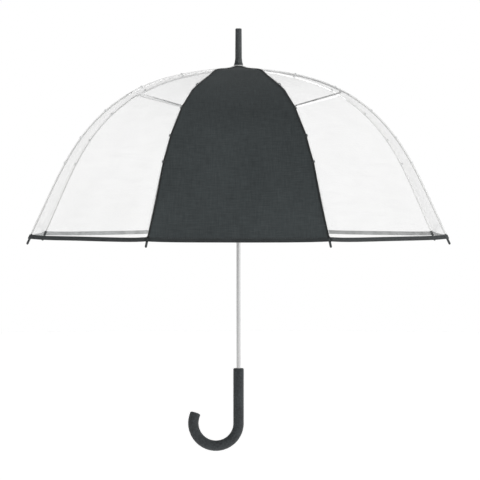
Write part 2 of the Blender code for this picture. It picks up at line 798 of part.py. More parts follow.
def build_strap():
    """Strap folded back on itself and snapped, lying on the far panel."""
    turn = panel_turn(RIB_COUNT // 2)
    place = flat_to_world(turn)
    bm = bmesh.new()
    rows = []
    for s in spread(STRAP_TOP_AT, STRAP_FOOT_AT, 6):
        row = []
        half = profile_at(s)[0] * math.sin(HALF_STEP)
        for inset in (-TOUCH_GAP, -TOUCH_GAP - STRAP_THICK):
            for side in (-1.0, 1.0):
                p = panel_point(s, 0.0, inset)
                p.y = side * STRAP_WIDTH / 2
                row.append(bm.verts.new(p))
        rows.append((row[0], row[1], row[3], row[2]))
    loops = [[bm.edges.new((a, b)) for a, b in zip(r, r[1:] + r[:1])] for r in rows]
    bm.faces.new(rows[0])
    bm.faces.new(rows[-1])
    for first, second in zip(loops, loops[1:]):
        bmesh.ops.bridge_loops(bm, edges=first + second)
    bmesh.ops.transform(bm, matrix=place, verts=bm.verts)
    add_object("tie_strap", bm, DARK_FABRIC, False, place @ lower_hinge())

    s = STRAP_FOOT_AT - 0.014
    slope = slope_at(s)
    at = panel_point(s, 0.0, -TOUCH_GAP - STRAP_THICK - TOUCH_GAP - 0.0003)
    outline = [
        (0.0, 0.0),
        (SNAP_RADIUS, 0.0),
        (SNAP_RADIUS, SNAP_THICK * 0.45),
        (SNAP_RADIUS - 0.0012, SNAP_THICK * 0.9),
        (0.0, SNAP_THICK),
    ]
    snap = lathe(outline, 20)
    lay = place @ Matrix.Translation(at) @ Matrix.Rotation(slope, 4, "Y")
    bmesh.ops.transform(snap, matrix=lay, verts=snap.verts)
    add_object("strap_snap", snap, FRAME_STEEL, True, place @ lower_hinge())


def main():
    clear_scene()
    build_shaft()
    build_tip()
    build_washer()
    build_hub()
    build_wire("crown_wire", CROWN[1], (0.0, 0.0, CROWN[1]))
    build_runner()
    runner_origin = out_of(azimuth(0)) * PIVOT_RADIUS + Vector((0, 0, RUNNER_PIVOT_Z))
    build_wire("runner_wire", RUNNER_PIVOT_Z, runner_origin)
    build_catch("top_catch", top_catch_z())
    build_catch("bottom_catch", bottom_catch_z())
    build_handle()
    build_inner_rib()
    build_outer_rib()
    build_tip_caps()
    build_stretchers()
    build_panels()
    build_strap()


main()
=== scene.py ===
"""Looks of a clear bubble umbrella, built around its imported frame."""

import math

import bmesh
import bpy
from bpy.props import FloatProperty, FloatVectorProperty, PointerProperty
from mathutils import Matrix, Vector, noise


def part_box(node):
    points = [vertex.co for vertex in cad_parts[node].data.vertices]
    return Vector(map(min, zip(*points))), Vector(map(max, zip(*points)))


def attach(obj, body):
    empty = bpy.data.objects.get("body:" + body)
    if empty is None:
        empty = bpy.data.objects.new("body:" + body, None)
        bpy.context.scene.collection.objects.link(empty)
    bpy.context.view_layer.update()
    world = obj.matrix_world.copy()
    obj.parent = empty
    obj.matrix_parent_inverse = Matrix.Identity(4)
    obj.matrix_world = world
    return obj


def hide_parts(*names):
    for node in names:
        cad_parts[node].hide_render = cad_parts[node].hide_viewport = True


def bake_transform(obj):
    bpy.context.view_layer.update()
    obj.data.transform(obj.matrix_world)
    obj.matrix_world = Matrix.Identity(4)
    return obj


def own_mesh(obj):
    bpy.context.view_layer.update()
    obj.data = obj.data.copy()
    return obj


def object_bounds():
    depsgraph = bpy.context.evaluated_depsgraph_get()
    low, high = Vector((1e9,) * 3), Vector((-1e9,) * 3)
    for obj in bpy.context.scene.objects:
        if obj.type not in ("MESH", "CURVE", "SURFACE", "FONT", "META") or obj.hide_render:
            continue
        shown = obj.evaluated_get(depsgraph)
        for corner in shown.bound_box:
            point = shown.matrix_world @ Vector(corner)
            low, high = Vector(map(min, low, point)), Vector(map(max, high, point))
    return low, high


bl_info = {
    "name": "Clear bubble umbrella",
    "version": (1, 0, 0),
    "blender": (4, 5, 0),
    "location": "View3D > Sidebar > Umbrella",
    "description": "Makes the pieces of a clear bubble umbrella on its frame",
    "category": "Object",
}

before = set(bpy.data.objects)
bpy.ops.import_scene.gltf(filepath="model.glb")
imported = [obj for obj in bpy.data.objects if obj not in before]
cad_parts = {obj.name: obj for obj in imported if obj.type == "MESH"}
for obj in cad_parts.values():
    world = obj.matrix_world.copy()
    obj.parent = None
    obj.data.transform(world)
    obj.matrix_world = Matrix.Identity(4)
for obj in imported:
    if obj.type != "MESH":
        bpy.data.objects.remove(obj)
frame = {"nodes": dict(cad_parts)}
CAD_BOX = [list(corner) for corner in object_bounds()]

RIBS = 8
HALF_STEP = math.pi / RIBS
FRONT_PANEL = 1
BACK_PANEL = 5

# the rib seam, as the frame's source draws it
SEAM_LENGTH = 0.602
APEX_Z = 0.670
SLOPE_TOP = math.radians(7.0)
SLOPE_HEM = math.radians(64.0)
SLOPE_FROM = 0.040
SLOPE_TO = 0.520
SPLIT_AT = 0.229
RIB_DEPTH = 0.0033
FLEX_AT = 0.237
ROD_END_AT = 0.611

# the canopy: where it begins, how it bows, and its ties, with the pull on the woven edge before each
PANEL_BOW = 0.030
PANEL_START = 0.0125
SEAM_CLEARANCE = 0.0002
TIES = ((0.125, 0.0034), (0.245, 0.0042), (0.306, 0.0013), (0.381, 0.0016), (0.441, 0.0012), (0.602, 0.0018))
HEM_DROP = 0.0022
RIDGE_HEIGHT, RIDGE_AT, RIDGE_SPREAD = 0.0036, 0.118, 0.034
TAPE_BELOW = 0.0062
EDGE_DEPTH = -0.0005

# distance between the cords of the binding tape
CORD_PITCH = 0.0009

# the strap on the far panel, from its top to its foot along the panel
STRAP_FROM, STRAP_TO = 0.4745, 0.5730
STRAP_LIFT = 0.0010

# how far the socket laps the end of the rod, and how far from the flex line a tie stands at least
SOCKET_LAP = 0.0008
TIE_FROM_FLEX = 0.022

SEAM_STEP = 0.001
SEAM_STEPS = 640


def seam_slope(s):
    """How steeply the seam falls, at s along it from the crown."""
    t = min(max((s - SLOPE_FROM) / (SLOPE_TO - SLOPE_FROM), 0.0), 1.0)
    return SLOPE_TOP + (SLOPE_HEM - SLOPE_TOP) * t * t * (3.0 - 2.0 * t)


def seam_points():
    """Distance from the shaft's axis and height of points along the seam, SEAM_STEP apart."""
    points = [Vector((0.0, APEX_Z))]
    for step in range(SEAM_STEPS):
        slope = seam_slope((step + 0.5) * SEAM_STEP)
        points.append(points[-1] + SEAM_STEP * Vector((math.cos(slope), -math.sin(slope))))
    return points


SEAM_TABLE = seam_points()


def seam_point(s, depth=0.0):
    """Distance from the shaft's axis and height, at s along a rib seam and depth below the canopy."""
    place = min(max(s, 0.0) / SEAM_STEP, len(SEAM_TABLE) - 1.001)
    low = int(place)
    p = SEAM_TABLE[low].lerp(SEAM_TABLE[low + 1], place - low)
    slope = seam_slope(s)
    return Vector((p[0] - depth * math.sin(slope), p[1] - depth * math.cos(slope)))


def rib_turn(rib):
    return 2.0 * HALF_STEP * (rib - 0.5)


def panel_turn(panel):
    return 2.0 * HALF_STEP * (panel - 1)


def out_of(turn):
    return Vector((math.sin(turn), -math.cos(turn), 0.0))


def side_of(turn):
    return Vector((math.cos(turn), math.sin(turn), 0.0))


def in_world(turn, outwards, across, z):
    return out_of(turn) * outwards + side_of(turn) * across + Vector((0.0, 0.0, z))


# --- shader tools ---------------------------------------------------------------


class Amount:
    """A node's output, so that arithmetic on it reads as written."""

    def __init__(self, finish, socket):
        self.finish = finish
        self.socket = socket

    def _sum(self, operation, first, second):
        return self.finish.node("Math", {"operation": operation}, {0: first, 1: second})

    def __add__(self, other):
        return self._sum("ADD", self, other)

    __radd__ = __add__

    def __mul__(self, other):
        return self._sum("MULTIPLY", self, other)

    __rmul__ = __mul__

    def __pow__(self, other):
        return self._sum("POWER", self, other)

    def __rpow__(self, other):
        return self._sum("POWER", other, self)


class Finish:
    """A material with one Principled shader, and the means to add nodes to it."""

    def __init__(self, name, colour, roughness, metallic=0.0, **fixed):
        self.material = bpy.data.materials.new(name)
        self.material.use_nodes = True
        self.tree = self.material.node_tree
        self.shader = self.tree.nodes["Principled BSDF"]
        self.set("Base Color", (*colour, 1.0))
        self.set("Roughness", roughness)
        self.set("Metallic", metallic)
        for socket, value in fixed.items():
            self.set(socket.replace("_", " "), value)
        self.material.diffuse_color = (*colour, 1.0)

    def set(self, socket, value):
        target = self.shader.inputs[socket]
        if isinstance(value, Amount):
            self.tree.links.new(value.socket, target)
        else:
            target.default_value = value

    def node(self, kind, settings=None, sockets=None, output=0):
        """One node: its settings first, then the values or links of its sockets."""
        made = self.tree.nodes.new("ShaderNode" + kind)
        for key, value in (settings or {}).items():
            if key == "stops":
                ramp = made.color_ramp
                while len(ramp.elements) < len(value):
                    ramp.elements.new(0.5)
                for element, (position, colour) in zip(ramp.elements, value):
                    element.position = position
                    element.color = colour
            else:
                setattr(made, key, value)
        for socket, value in (sockets or {}).items():
            if isinstance(value, Amount):
                self.tree.links.new(value.socket, made.inputs[socket])
            else:
                made.inputs[socket].default_value = value
        return Amount(self, made.outputs[output])

    def place(self, scale=(1.0, 1.0, 1.0), turn=(0.0, 0.0, 0.0)):
        """Object coordinates, stretched and turned."""
        where = self.node("TexCoord", output=3)
        return self.node("Mapping", None, {"Vector": where, "Scale": scale, "Rotation": turn})

    def cloth(self, scale=(1.0, 1.0, 1.0)):
        """The piece's own flat coordinates, in metres."""
        where = self.node("UVMap", {"uv_map": "flat"})
        return self.node("Mapping", None, {"Vector": where, "Scale": scale})

    def cloud(self, where, scale, detail=3.0, roughness=0.55):
        sockets = {"Vector": where, "Scale": scale, "Detail": detail, "Roughness": roughness}
        return self.node("TexNoise", {"noise_dimensions": "3D"}, sockets)

    def limited(self, value, low, high, to_low=0.0, to_high=1.0):
        sockets = {"Value": value, "From Min": low, "From Max": high, "To Min": to_low, "To Max": to_high}
        return self.node("MapRange", {"clamp": True}, sockets)

    def between(self, factor, first, second):
        """A colour between two colours."""
        sockets = {"Factor": factor, 6: (*first, 1.0), 7: (*second, 1.0)}
        return self.node("Mix", {"data_type": "RGBA"}, sockets, output=2)

    def rise(self, height, distance, strength=1.0, normal=None):
        sockets = {"Height": height, "Distance": distance, "Strength": strength}
        if normal is not None:
            sockets["Normal"] = normal
        return self.node("Bump", None, sockets)

    def split(self, vector):
        made = self.tree.nodes.new("ShaderNodeSeparateXYZ")
        self.tree.links.new(vector.socket, made.inputs[0])
        return [Amount(self, out) for out in made.outputs]

    def wave(self, value):
        return self.node("Math", {"operation": "SINE"}, {0: value})

    def tones(self, value, colour, dark, light, low=0.3, high=0.7):
        """Base colour from a darker to a lighter shade, as the value goes from low to high."""
        mixed = self.between(self.limited(value, low, high), shade(colour, dark), shade(colour, light))
        self.set("Base Color", mixed)


def shade(colour, factor):
    return tuple(part * factor for part in colour)


def woven_fabric(name, colour, pitch, slub=0.8):
    """Plain weave on the piece's flat coordinates, with uneven threads and a soft sheen."""
    fin = Finish(name, colour, 0.86, Sheen_Weight=0.04, Sheen_Roughness=0.5, Specular_IOR_Level=0.12)
    u, v, _ = fin.split(fin.cloth())
    turns = 2.0 * math.pi / pitch
    warp = fin.wave(u * turns)
    weft = fin.wave(v * turns)
    thread = warp * weft
    long_slub = fin.cloud(fin.cloth((520.0, 26.0, 1.0)), 1.0, 2.0)
    cross_slub = fin.cloud(fin.cloth((30.0, 640.0, 1.0)), 1.0, 2.0)
    drift = fin.cloud(fin.place(), 9.0, 3.0)
    uneven = (long_slub + cross_slub) * 0.5
    thick = fin.cloud(fin.cloth((48.0, 420.0, 1.0)), 1.0, 3.0, 0.7)
    thin = fin.cloud(fin.cloth((360.0, 42.0, 1.0)), 1.0, 3.0, 0.7)
    linen = thick * 0.6 + thin * 0.4
    contrast = 0.42 * slub
    tone = uneven * 0.35 + linen * 0.45 + drift * 0.20
    fin.tones(tone, colour, 1.0 - contrast, 1.0 + contrast, 0.37, 0.63)
    fin.set("Roughness", fin.limited(uneven, 0.3, 0.7, 0.80, 0.93))
    yarn = fin.rise(uneven, 0.00022, 0.8)
    fin.set("Normal", fin.rise(thread, pitch * 0.16, 0.7, yarn))
    return fin.material


def bound_tape(name, colour, pitch):
    """Ribbed binding tape: fine cords across its length."""
    fin = Finish(name, colour, 0.80, Sheen_Weight=0.15, Sheen_Roughness=0.4, Specular_IOR_Level=0.3)
    u, _, _ = fin.split(fin.cloth())
    cord = fin.wave(u * (2.0 * math.pi / pitch))
    worn = fin.cloud(fin.place(), 60.0, 3.0)
    fin.tones(worn, colour, 0.84, 1.18, 0.35, 0.65)
    fin.set("Roughness", fin.limited(worn, 0.3, 0.7, 0.72, 0.9))
    fin.set("Normal", fin.rise(cord, pitch * 0.2, 0.8))
    return fin.material


def clear_film(name, tint, face, edge):
    """Clear film: almost nothing face on, a pale line edge on, with faint drawn ripples."""
    fin = Finish(name, tint, 0.14, Specular_IOR_Level=0.5, Coat_Roughness=0.08, IOR=1.45)
    ripple = fin.cloud(fin.place((6.0, 6.0, 2.2)), 1.6, 3.0)
    fine = fin.cloud(fin.place((3.0, 3.0, 16.0)), 5.0, 2.0)
    facing = fin.node("LayerWeight", None, {"Blend": 0.5}, output=1)
    haze = fin.limited(ripple * 0.6 + fine * 0.4, 0.38, 0.66, 0.75, 1.30)
    fin.set("Alpha", haze * face + (facing**5.0) * edge)
    fin.set("Roughness", fin.limited(ripple, 0.3, 0.7, 0.08, 0.24))
    fin.set("Normal", fin.rise(ripple, 0.004, 0.35))
    return fin.material


def polished_tube(name, colour):
    """Plated steel with fine drawn lines along it and a few dull patches."""
    fin = Finish(name, colour, 0.2, 1.0)
    lines = fin.cloud(fin.place((2600.0, 2600.0, 9.0)), 1.0, 2.0)
    patches = fin.cloud(fin.place(), 42.0, 4.0)
    fin.set("Roughness", fin.limited(lines * 0.5 + patches * 0.5, 0.35, 0.65, 0.15, 0.31))
    fin.tones(patches, colour, 0.93, 1.04)
    fin.set("Normal", fin.rise(lines, 0.00002, 0.5))
    return fin.material


def sheet_steel(name, colour):
    """Pressed and plated strip: satin, with small spangles and rubbed places."""
    fin = Finish(name, colour, 0.34, 1.0)
    grains = fin.node("TexVoronoi", {"feature": "F1"}, {"Vector": fin.place(), "Scale": 420.0}, output=0)
    rubbed = fin.cloud(fin.place(), 130.0, 4.0)
    fin.tones(rubbed * 0.7 + grains * 0.3, colour, 0.90, 1.05, 0.25, 0.7)
    fin.set("Roughness", fin.limited(rubbed, 0.3, 0.7, 0.26, 0.46))
    fin.set("Normal", fin.rise(rubbed, 0.00004, 0.5))
    return fin.material


def foam_grip(name, colour):
    """Soft matte grip: a leathery grain of small pits, rubbed paler on its high places."""
    fin = Finish(name, colour, 0.68, Specular_IOR_Level=0.36, Sheen_Weight=0.10)
    pits = fin.node("TexVoronoi", {"feature": "DISTANCE_TO_EDGE"}, {"Vector": fin.place(), "Scale": 760.0})
    grain = fin.cloud(fin.place(), 900.0, 3.0, 0.6)
    mottle = fin.cloud(fin.place(), 270.0, 4.0, 0.7)
    broad = fin.cloud(fin.place(), 28.0, 3.0)
    fin.tones(mottle * 0.7 + broad * 0.15 + grain * 0.15, colour, 0.42, 1.75, 0.38, 0.62)
    fin.set("Roughness", fin.limited(mottle, 0.3, 0.7, 0.58, 0.78))
    deep = fin.rise(fin.limited(pits, 0.0, 0.25), 0.00018, 0.6)
    fin.set("Normal", fin.rise(grain * 0.5 + mottle * 0.5, 0.00035, 0.7, deep))
    return fin.material


def moulded_plastic(name, colour, rough=0.46):
    """Moulded plastic: a fine spark-eroded skin with slight flow marks."""
    fin = Finish(name, colour, rough, Specular_IOR_Level=0.45)
    skin = fin.cloud(fin.place(), 1500.0, 2.0)
    flow = fin.cloud(fin.place((60.0, 60.0, 14.0)), 1.0, 3.0)
    fin.tones(flow, colour, 0.84, 1.20)
    fin.set("Roughness", fin.limited(flow * 0.6 + skin * 0.4, 0.3, 0.7, rough - 0.08, rough + 0.12))
    fin.set("Normal", fin.rise(skin, 0.00004, 0.6))
    return fin.material


def glass_rod(name, colour):
    """Glass-fibre rod: pale resin with fibres along its length."""
    fin = Finish(name, colour, 0.38, Specular_IOR_Level=0.5, Coat_Weight=0.25, Coat_Roughness=0.2)
    fibres = fin.cloud(fin.cloth((4200.0, 16.0, 1.0)), 1.0, 2.0)
    fin.tones(fibres, colour, 0.88, 1.05)
    fin.set("Roughness", fin.limited(fibres, 0.3, 0.7, 0.3, 0.46))
    fin.set("Normal", fin.rise(fibres, 0.00003, 0.4))
    return fin.material


def sewing_thread(name, colour):
    """Twisted thread."""
    fin = Finish(name, colour, 0.62, Sheen_Weight=0.2)
    twist = fin.cloud(fin.place(), 2400.0, 2.0)
    fin.tones(twist, colour, 0.75, 1.25)
    fin.set("Normal", fin.rise(twist, 0.0001, 0.6))
    return fin.material


# --- mesh tools -----------------------------------------------------------------


def settings():
    return bpy.context.scene.umbrella


def finished(name, bm, look, smooth=True):
    """A piece whose mesh is already in its place."""
    mesh = bpy.data.meshes.new(name)
    bm.to_mesh(mesh)
    bm.free()
    mesh.shade_smooth() if smooth else mesh.shade_flat()
    mesh.materials.append(look)
    obj = bpy.data.objects.new(name, mesh)
    bpy.context.scene.collection.objects.link(obj)
    return obj


def crease_sharp(obj, degrees=35.0):
    obj.data.set_sharp_from_angle(angle=math.radians(degrees))
    return obj


def round_section(angle):
    return math.cos(angle), math.sin(angle)


def tape_section(angle):
    """A flat band with rounded edges."""
    c, s = math.cos(angle), math.sin(angle)
    return math.copysign(abs(c) ** 0.35, c), math.copysign(abs(s) ** 0.7, s)


def drawn_along(frames, sides, section=round_section, ring=False, lengthwise=False):
    """A section carried through frames: each is a matrix from the section's plane to its place.

    Lengthwise, the flat map's first direction runs along the piece and not around it.
    """
    bm = bmesh.new()
    flat = bm.loops.layers.uv.new("flat")
    verts = bmesh.ops.create_circle(bm, segments=sides, radius=1.0, cap_ends=False)["verts"]
    order = sorted(verts, key=lambda v: math.atan2(v.co.y, v.co.x))
    turn_of = {v: k for k, v in enumerate(order)}
    row_of = {v: 0 for v in order}
    for v in order:
        x, y = section(math.atan2(v.co.y, v.co.x))
        v.co = Vector((x, y, 0.0))
    local = {v: v.co.copy() for v in order}
    for v in order:
        v.co = frames[0] @ local[v]
    edges = list(bm.edges)
    current = list(order)
    for row, matrix in enumerate(frames[1:], 1):
        made = bmesh.ops.extrude_edge_only(bm, edges=edges)["geom"]
        edges = [e for e in made if isinstance(e, bmesh.types.BMEdge)]
        fresh = [v for v in made if isinstance(v, bmesh.types.BMVert)]
        for old in current:
            new = min(fresh, key=lambda v: (v.co - old.co).length_squared)
            fresh.remove(new)
            turn_of[new] = turn_of[old]
            row_of[new] = row
            local[new] = local[old]
        current = [v for v in row_of if row_of[v] == row]
        for v in current:
            v.co = matrix @ local[v]
        edges = [e for e in edges if row_of.get(e.verts[0]) == row and row_of.get(e.verts[1]) == row]
    size = (frames[len(frames) // 2].to_3x3() @ Vector((1.0, 0.0, 0.0))).length
    girth = 2.0 * math.pi * size
    run = [0.0]
    for first, second in zip(frames, frames[1:]):
        run.append(run[-1] + (second.translation - first.translation).length)
    for face in bm.faces:
        turns = [turn_of[loop.vert] for loop in face.loops]
        wraps = max(turns) - min(turns) > sides / 2
        for loop in face.loops:
            k = turn_of[loop.vert]
            k = k + sides if wraps and k < sides / 2 else k
            around, ahead = girth * k / sides, run[row_of[loop.vert]]
            loop[flat].uv = (ahead, around) if lengthwise else (around, ahead)
    if not ring:
        bmesh.ops.holes_fill(bm, edges=[e for e in bm.edges if e.is_boundary], sides=0)
    bmesh.ops.recalc_face_normals(bm, faces=bm.faces)
    return bm


def turned_piece(outline, sides=48):
    """An outline of (radius, height) points spun about the shaft's axis."""
    bm = bmesh.new()
    verts = [bm.verts.new((r, 0.0, z)) for r, z in outline]
    edges = [bm.edges.new(pair) for pair in zip(verts, verts[1:])]
    if outline[0][0] > 0.0 and outline[-1][0] > 0.0:
        edges.append(bm.edges.new((verts[-1], verts[0])))
    bmesh.ops.spin(
        bm,
        geom=verts + edges,
        axis=(0.0, 0.0, 1.0),
        angle=2.0 * math.pi,
        steps=sides,
        use_merge=True,
    )
    bmesh.ops.remove_doubles(bm, verts=bm.verts, dist=1e-7)
    bmesh.ops.recalc_face_normals(bm, faces=bm.faces)
    return bm


def basis(across, up, along, place):
    """A frame from three directions, whose lengths are the section's scale."""
    matrix = Matrix((across, up, along)).transposed().to_4x4()
    matrix.translation = place
    return matrix


def rib_place(rib, s, depth):
    """A place on a rib's middle line, at a depth below the canopy."""
    p = seam_point(s, depth)
    return in_world(rib_turn(rib), p[0], 0.0, p[1])


def rib_directions(rib, s):
    """Across a rib, up from it and along it, at s."""
    turn, slope = rib_turn(rib), seam_slope(s)
    up = out_of(turn) * math.sin(slope) + Vector((0.0, 0.0, math.cos(slope)))
    along = out_of(turn) * math.cos(slope) - Vector((0.0, 0.0, math.sin(slope)))
    return side_of(turn), up, along


def rib_frames(rib, stations, depth, radius, flatten=1.0):
    """Frames along a rib, at a depth below the canopy."""
    made = []
    for s in stations:
        side, up, along = rib_directions(rib, s)
        made.append(basis(side * radius, up * radius * flatten, along, rib_place(rib, s, depth)))
    return made


def spread(first, last, count):
    return [first + (last - first) * k / count for k in range(count + 1)]


def panel_half(s):
    return max(seam_point(s)[0] * math.sin(HALF_STEP), 0.0004)


def scallop(s):
    """How far the dark panel's edge pulls in between the places where it is tied to the rib."""
    low = 0.0
    for high, pull in TIES:
        if s < high:
            return pull * math.sin(math.pi * (s - low) / (high - low))
        low = high
    return 0.0


def hem_drop(across):
    """The hem hangs a little lower than its corners, which the ribs hold up."""
    return HEM_DROP * (1.0 - abs(across) ** 5)


def ridge(panel, s):
    """The woven panel stands a little proud where the first tie holds it up."""
    if panel != FRONT_PANEL:
        return 0.0
    return RIDGE_HEIGHT * math.exp(-(((s - RIDGE_AT) / RIDGE_SPREAD) ** 2))


def panel_point(panel, s, across, depth=0.0):
    """A place on a panel: s along the seam, across from -1 to 1, depth below its outer face."""
    t = min(s / SEAM_LENGTH, 1.0)
    edge = seam_point(s)
    slope = seam_slope(s)
    half = panel_half(s) - SEAM_CLEARANCE
    if panel == FRONT_PANEL:
        half = max(half - scallop(s), 0.0003)
    reach = edge[0] * math.cos(HALF_STEP)
    bow = PANEL_BOW * half * (1.0 - across * across) * math.sin(math.pi * min(t, 0.999)) ** 0.8
    low = bow + depth + ripple(panel, s, across) * (1.0 - across**4) - ridge(panel, s)
    drop = hem_drop(across) * t**9
    outwards = reach - low * math.sin(slope) + drop * math.cos(slope)
    height = edge[1] - low * math.cos(slope) - drop * math.sin(slope)
    return in_world(panel_turn(panel), outwards, half * across, height)


def panel_directions(panel, s, across, depth, reach):
    """Across a panel, out from it and down it, from two places that are reach away from s."""
    turn = panel_turn(panel)
    down = panel_point(panel, s + reach, across, depth) - panel_point(panel, s - reach, across, depth)
    out = side_of(turn).cross(down).normalized()
    if out.dot(out_of(turn) + Vector((0.0, 0.0, 0.3))) < 0.0:
        out = -out
    return side_of(turn), out, down.normalized()


def ripple(panel, s, across):
    """Slight drawn creases: from the corners of the hem, and across under the ties."""
    corner_reach, corner_start = 0.16, 0.03
    tie_length, tie_reach = 0.012, 0.045
    seed = Vector((panel * 3.7, 0.0, 0.0))
    half = panel_half(s)
    broad = noise.noise(seed + Vector((across * half * 9.0, s * 7.0, 0.3)))
    size = 0.0007 if panel == FRONT_PANEL else 0.0011
    total = broad * size
    for side in (-1.0, 1.0):
        x = (across - side) * half
        y = SEAM_LENGTH - s
        far = math.hypot(x, y)
        if 0.001 < far < corner_reach:
            angle = math.atan2(y, abs(x))
            fade = (1.0 - far / corner_reach) ** 2 * min(far / corner_start, 1.0)
            total += size * 0.9 * fade * math.sin(angle * 11.0 + panel)
    for station, _ in TIES[1:-1]:
        near = math.exp(-(((s - station) / tie_length) ** 2))
        for side in (-1.0, 1.0):
            reach = math.exp(-(((across - side) * half / tie_reach) ** 2))
            total += size * 0.55 * near * reach
    return total


def cloth_piece(name, rows, columns, place, flat, look, thickness):
    """A closed sheet: place and flat take (across, along), each from -1 to 1 and 0 to 1."""
    bm = bmesh.new()
    layer = bm.loops.layers.uv.new("flat")
    bmesh.ops.create_grid(bm, x_segments=columns, y_segments=rows, size=1.0)
    cut = {v: (v.co.x, (v.co.y + 1.0) / 2.0) for v in bm.verts}
    for v, (across, along) in cut.items():
        v.co = place(across, along)
    for face in bm.faces:
        for loop in face.loops:
            loop[layer].uv = flat(*cut[loop.vert])
    bmesh.ops.recalc_face_normals(bm, faces=bm.faces)
    middle = min(bm.faces, key=lambda f: abs(cut[f.verts[0]][0]) + abs(cut[f.verts[0]][1] - 0.5))
    away = middle.calc_center_median() - Vector((0.0, 0.0, 0.3))
    if middle.normal.dot(away) < 0.0:
        bmesh.ops.reverse_faces(bm, faces=bm.faces)
    bmesh.ops.solidify(bm, geom=bm.faces[:], thickness=thickness)
    bmesh.ops.recalc_face_normals(bm, faces=bm.faces)
    return crease_sharp(finished(name, bm, look), 50.0)


def fold_with(obj, panel, half):
    """Rides on half a panel."""
    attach(obj, f"{half}_cover_{panel}")
    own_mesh(obj)
    return obj


def follow_rod(piece, rib):
    """Bakes the piece's transform into its mesh."""
    start = rib_place(rib, FLEX_AT + 0.012, RIB_DEPTH)
    end = rib_place(rib, FLEX_AT + 0.150, RIB_DEPTH)
    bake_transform(piece)


# --- the user's settings --------------------------------------------------------


def colour_setting(name, description, default):
    return FloatVectorProperty(
        name=name, description=description, subtype="COLOR", size=3, min=0.0, max=1.0, default=default
    )


def length_setting(name, description, default):
    return FloatProperty(
        name=name, description=description, unit="LENGTH", min=0.0, default=default, precision=5
    )


def amount_setting(name, description, default):
    return FloatProperty(name=name, description=description, min=0.0, default=default)


class UmbrellaCanopySettings(bpy.types.PropertyGroup):
    fabric_colour: colour_setting("Fabric", "Colour of the woven panel", (0.0500, 0.0580, 0.0600))
    tape_colour: colour_setting("Binding", "Colour of the hem's tape", (0.0330, 0.0380, 0.0395))
    backing_colour: colour_setting("Backing", "Colour of the tape's inner face", (0.43, 0.44, 0.44))
    film_tint: colour_setting("Film", "Tint of the clear film", (0.50, 0.50, 0.49))
    film_haze: amount_setting("Haze", "How much the film hides face on", 0.041)
    film_edge: amount_setting("Edge", "How much more it hides edge on", 0.21)
    weave_pitch: length_setting("Weave", "Distance between threads", 0.00055)
    fabric_thickness: length_setting("Fabric thickness", "Thickness of the woven panel", 0.00034)
    film_thickness: length_setting("Film thickness", "Thickness of the clear film", 0.00020)
    tape_height: length_setting("Tape height", "Height of the hem's tape", 0.0090)
    tape_thickness: length_setting("Tape thickness", "Thickness of the hem's tape, folded", 0.00124)
    edge_fold: length_setting("Edge fold", "Half width of the woven panel's turned side edge", 0.0018)
    seam_width: length_setting("Seam width", "Width of the welded seam over each rib", 0.0076)
    stitch_length: length_setting("Stitch", "Length of one stitch with its gap", 0.0042)


class UmbrellaFrameSettings(bpy.types.PropertyGroup):
    rod_radius: length_setting("Rod radius", "Radius of the springy outer rib", 0.0014)
    socket_radius: length_setting("Socket radius", "Radius of the sleeve that holds the rod", 0.0021)
    rod_colour: colour_setting("Rod", "Colour of the outer rib", (0.80, 0.80, 0.79))
    steel_colour: colour_setting("Frame steel", "Colour of the ribs and stretchers", (0.93, 0.93, 0.93))
    shaft_colour: colour_setting("Shaft", "Colour of the shaft's plating", (0.57, 0.57, 0.57))
    plastic_colour: colour_setting("Plastic", "Colour of the tip, caps and runner", (0.0370, 0.0430, 0.0445))


class UmbrellaHandleSettings(bpy.types.PropertyGroup):
    grip_colour: colour_setting("Grip", "Colour of the handle", (0.0264, 0.0307, 0.0333))
    grip_radius: length_setting("Grip radius", "Radius of the handle", 0.0107)
    edge_radius: length_setting("Edge", "Rounding of the handle's top", 0.0019)
    crook_radius: length_setting("Crook radius", "Radius of the hook, to its middle", 0.0460)
    crook_sweep: FloatProperty(
        name="Sweep", description="How far round the hook goes", subtype="ANGLE", default=math.radians(197.5)
    )
    crook_tail: length_setting("Crook tail", "Straight piece at the end of the hook", 0.0046)
    crook_edge: length_setting("Crook edge", "Rounding of the hook's end", 0.0032)
    bore_radius: length_setting("Bore", "Radius of the shaft's hole", 0.0047)


class UmbrellaStageSettings(bpy.types.PropertyGroup):
    floor_drop: length_setting("Floor", "How far below the handle the floor lies", 0.32)
    camera_distance: length_setting("Camera distance", "From the shaft to the camera", 4.60)
    camera_height: length_setting("Camera height", "Height of the camera above the grip", 0.421)
    camera_aside: length_setting("Camera aside", "How far right of the shaft it looks", 0.003)
    aim_height: length_setting("Aim height", "Height of the view's middle above the grip", 0.317)
    focal_length: amount_setting("Lens", "Focal length in millimetres", 169.8)
    ambient: amount_setting("Ambient", "Strength of the white light all round", 0.92)
    side_fall: amount_setting("Side fall", "How much weaker the light is on the left", 0.55)
    top_fall: amount_setting("Top fall", "How much weaker the light is overhead", 0.55)
    key_power: amount_setting("Key", "Power of the main light in watts", 14.0)


class UmbrellaSettings(bpy.types.PropertyGroup):
    canopy: PointerProperty(type=UmbrellaCanopySettings)
    frame: PointerProperty(type=UmbrellaFrameSettings)
    handle: PointerProperty(type=UmbrellaHandleSettings)
    stage: PointerProperty(type=UmbrellaStageSettings)


LOOKS = {}


def look(name, make, *values):
    """Each finish is made once."""
    if name not in LOOKS:
        LOOKS[name] = make(name, *values)
    return LOOKS[name]


def fabric_look():
    own = settings().canopy
    return look("dark_woven_fabric", woven_fabric, tuple(own.fabric_colour), own.weave_pitch)


def film_look():
    own = settings().canopy
    return look("clear_canopy_film", clear_film, tuple(own.film_tint), own.film_haze, own.film_edge)


